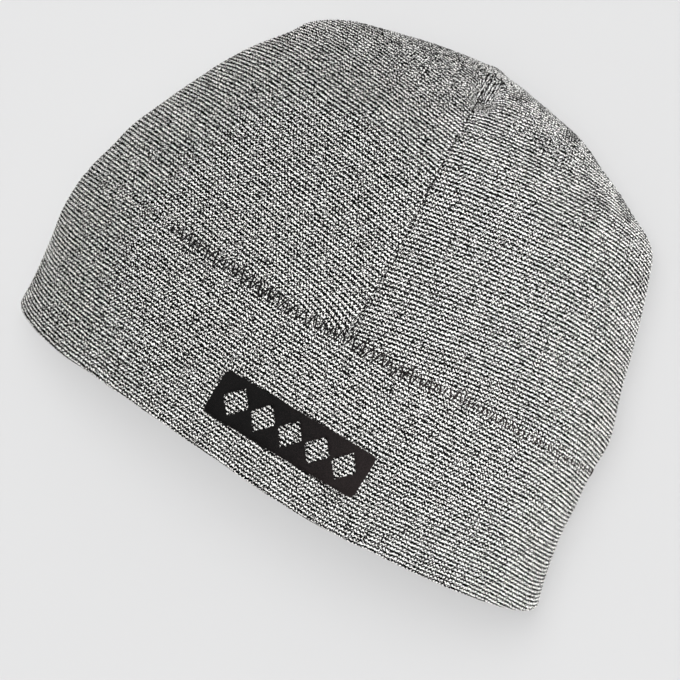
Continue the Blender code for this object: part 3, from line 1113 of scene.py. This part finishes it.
# The stage: a pale floor, a sky that is brighter at the picture's top left, a soft light from there
# that casts the shadows, and fill lights from the hat's right, from its left and from above
FLOOR_SIZE = 6.0
FLOOR_HEIGHT = -0.0002
FLOOR_NOISE = (3.0, 2.0)
FLOOR_COLOURS = ((0.0, (0.540, 0.540, 0.543)), (1.0, (0.565, 0.565, 0.568)))
FLOOR_ROUGHNESS = 0.9
SKY = 0.37
SKY_SLOPE = 0.26
SKY_TURN = math.radians(35)
FILL_LIGHTS = (
    ("side_light", 3.00, math.radians(65)),
    ("left_light", 0.70, math.radians(-65)),
    ("top_light", 0.95, 0.0),
)
SOFT_LIGHT = 0.28
SOFT_LIGHT_ANGLE = math.radians(50)
SOFT_LIGHT_TILT = math.radians(25)
SOFT_LIGHT_TURN = math.radians(25)


def make_floor():
    """The pale floor, a little uneven in tone."""
    bpy.ops.mesh.primitive_plane_add(size=FLOOR_SIZE, location=(0, 0, FLOOR_HEIGHT))
    floor = bpy.context.object
    floor.name = "floor"
    paint = bpy.data.materials.new("pale_floor")
    n = Nodes(paint)
    tone = n.math("ADD", n.noise(n.position(), *FLOOR_NOISE), 0.5)
    n.link(n.ramp(tone, FLOOR_COLOURS), n.shader.inputs["Base Color"])
    n.link(FLOOR_ROUGHNESS, n.shader.inputs["Roughness"])
    floor.data.materials.append(paint)


def make_sky():
    """A sky that is brighter on one side."""
    world = bpy.data.worlds.new("studio")
    n = Nodes(world, "Background")
    towards = n.tree.nodes.new("ShaderNodeVectorMath")
    towards.operation = "DOT_PRODUCT"
    bright_side = Matrix.Rotation(PICTURE_TURN + SKY_TURN, 3, "Z") @ Vector((0, 1, 0))
    towards.inputs[1].default_value = bright_side
    n.link(n.tree.nodes.new("ShaderNodeTexCoord").outputs["Generated"], towards.inputs[0])
    n.link(n.line(towards.outputs["Value"], SKY_SLOPE, SKY), n.shader.inputs["Strength"])
    n.link((1.0, 1.0, 1.0, 1.0), n.shader.inputs["Color"])
    bpy.context.scene.world = world


def add_light(name, energy, rotation, shadow_angle=None):
    """A light from far away. Without a shadow angle it casts no shadow."""
    lamp = bpy.data.lights.new(name, "SUN")
    lamp.energy = energy
    lamp.use_shadow = shadow_angle is not None
    if lamp.use_shadow:
        lamp.angle = shadow_angle
    light = bpy.data.objects.new(name, lamp)
    light.rotation_euler = rotation
    bpy.context.scene.collection.objects.link(light)


def make_camera():
    """A camera with a long lens that looks straight down on the hat."""
    camera = bpy.data.cameras.new("camera")
    camera.sensor_width = SENSOR_WIDTH_MM
    camera.lens = SENSOR_WIDTH_MM * CAMERA_DISTANCE / (PICTURE_WIDTH * METRES_PER_PIXEL)
    camera.clip_end = FARTHEST_VIEW
    view = bpy.data.objects.new("camera", camera)
    view.location = ORIGIN + AIM + Vector((0, 0, CAMERA_DISTANCE))
    view.rotation_euler = (0, 0, PICTURE_TURN)
    bpy.context.scene.collection.objects.link(view)
    bpy.context.scene.camera = view
    bpy.context.scene.view_settings.view_transform = "Standard"


def make_stage():
    """The floor, the sky, the lights and the camera."""
    make_floor()
    make_sky()
    for name, energy, tilt in FILL_LIGHTS:
        add_light(name, energy, (0, tilt, 0))
    turned = (-SOFT_LIGHT_TILT, 0, PICTURE_TURN + SOFT_LIGHT_TURN)
    add_light("soft_light", SOFT_LIGHT * math.pi, turned, SOFT_LIGHT_ANGLE)
    make_camera()


make_stage()
knit = knit_material()
make_band(knit)
make_crown_half("crown_left", -1, knit)
make_crown_half("crown_right", 1, knit)
thread = thread_material()
make_seam_stitches(thread)
make_badge(thread)
